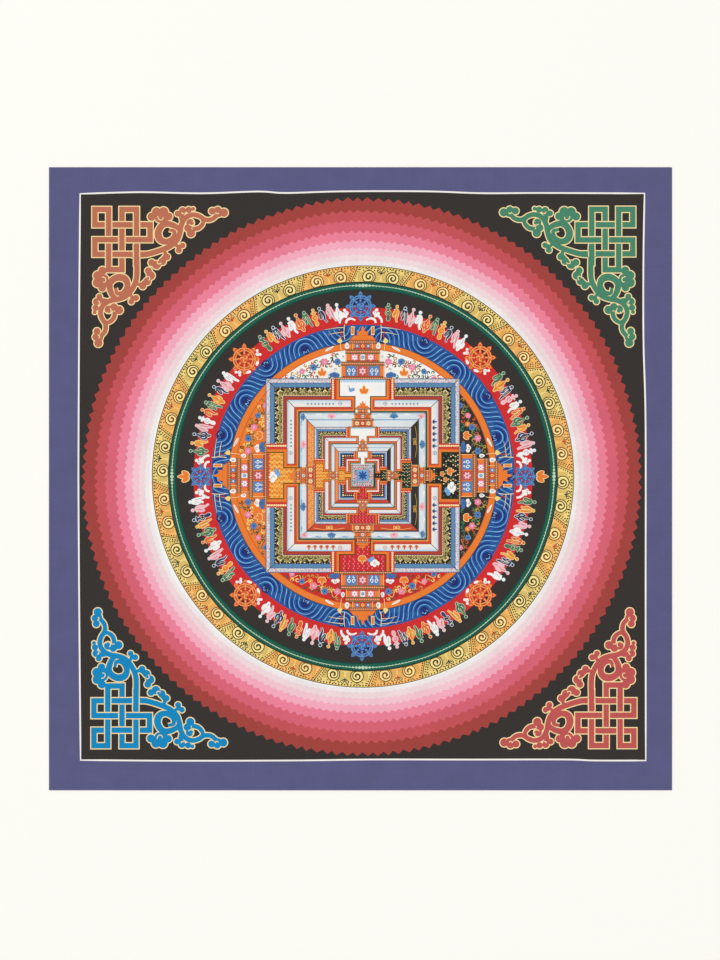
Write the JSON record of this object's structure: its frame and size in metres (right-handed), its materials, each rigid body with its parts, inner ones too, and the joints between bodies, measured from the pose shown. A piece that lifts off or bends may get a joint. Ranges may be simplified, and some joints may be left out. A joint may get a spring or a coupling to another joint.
{
  "type": "unmounted thangka painting",
  "caption": "Square sheet of painted cotton canvas with a plain margin and a round mandala design, lying flat with its painted face up.",
  "frame": {"origin": "middle of the underside of the sheet", "axes": "+X along the lower edge to the viewer's right, +Y towards the painting's upper edge, +Z out of the painted face"},
  "size_m": [0.76, 0.76, 0.0012],
  "materials": {
    "painted_canvas": "matte gouache on primed cotton canvas",
    "matte_paint": "dry matte mineral gouache, burnished flat",
    "gold_paint": "fine lines of matte gold-coloured gouache"
  },
  "bodies": {
    "root": {"canvas": "painted_canvas"}
  },
  "joints": []
}
